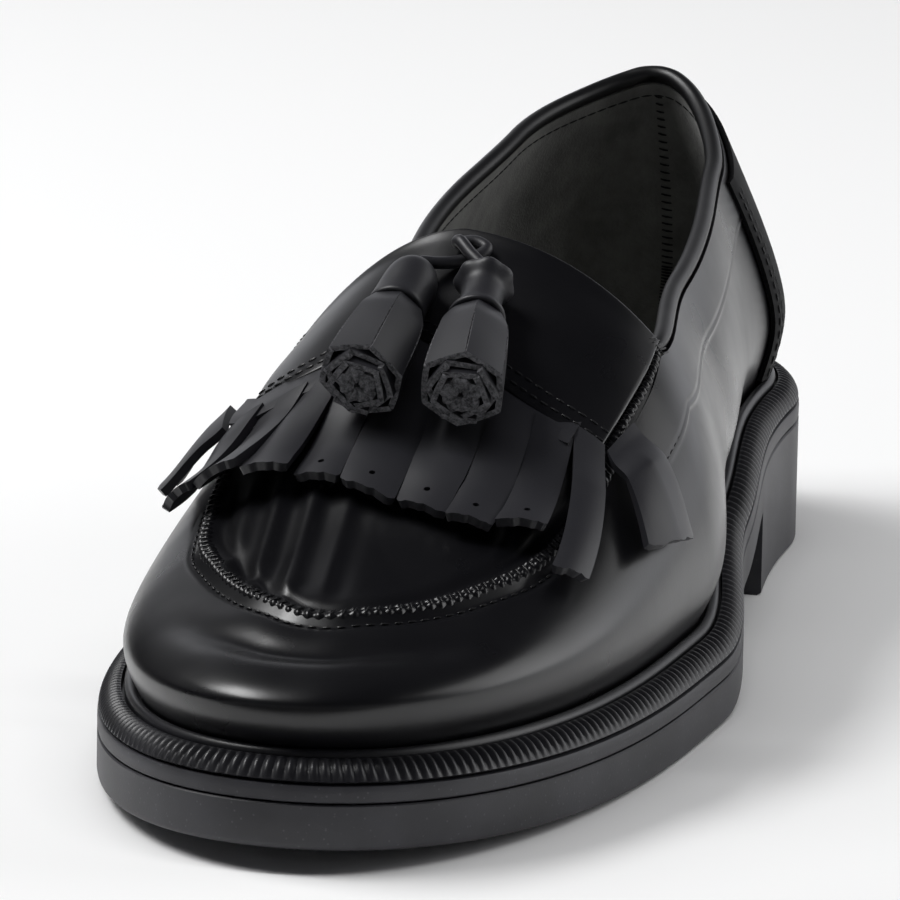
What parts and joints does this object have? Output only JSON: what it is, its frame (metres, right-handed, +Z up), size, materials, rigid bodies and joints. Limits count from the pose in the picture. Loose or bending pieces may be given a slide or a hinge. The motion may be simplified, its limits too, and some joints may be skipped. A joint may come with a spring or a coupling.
{
  "type": "loafer shoe",
  "caption": "Left slip-on loafer with a moccasin toe, a saddle strap with a cut leather fringe and two tassels, a rolled welt and a moulded sole with a low heel",
  "frame": {"origin": "on the floor under the middle of the shoe's bounding box", "axes": "+Z up, +Y from toe to heel along the shoe's length, +X to the shoe's outer (lateral) side"},
  "size_m": [0.0995, 0.272, 0.0833],
  "materials": {
    "moulded_rubber": "smooth matt moulded rubber",
    "rubber_welt": "satin black",
    "sock_leather": "matt black sock leather",
    "polished_calf": "polished black smooth leather"
  },
  "bodies": {
    "root": {"outsole": "moulded_rubber", "midsole": "moulded_rubber", "welt": "rubber_welt", "welt_bead": "rubber_welt", "insole": "sock_leather", "upper": "polished_calf", "collar_binding": "polished_calf", "heel_counter": "polished_calf", "saddle": "polished_calf", "kiltie_fringe": "polished_calf", "tassel_medial": "polished_calf", "tassel_lateral": "polished_calf", "tassel_lace": "polished_calf"}
  },
  "joints": []
}
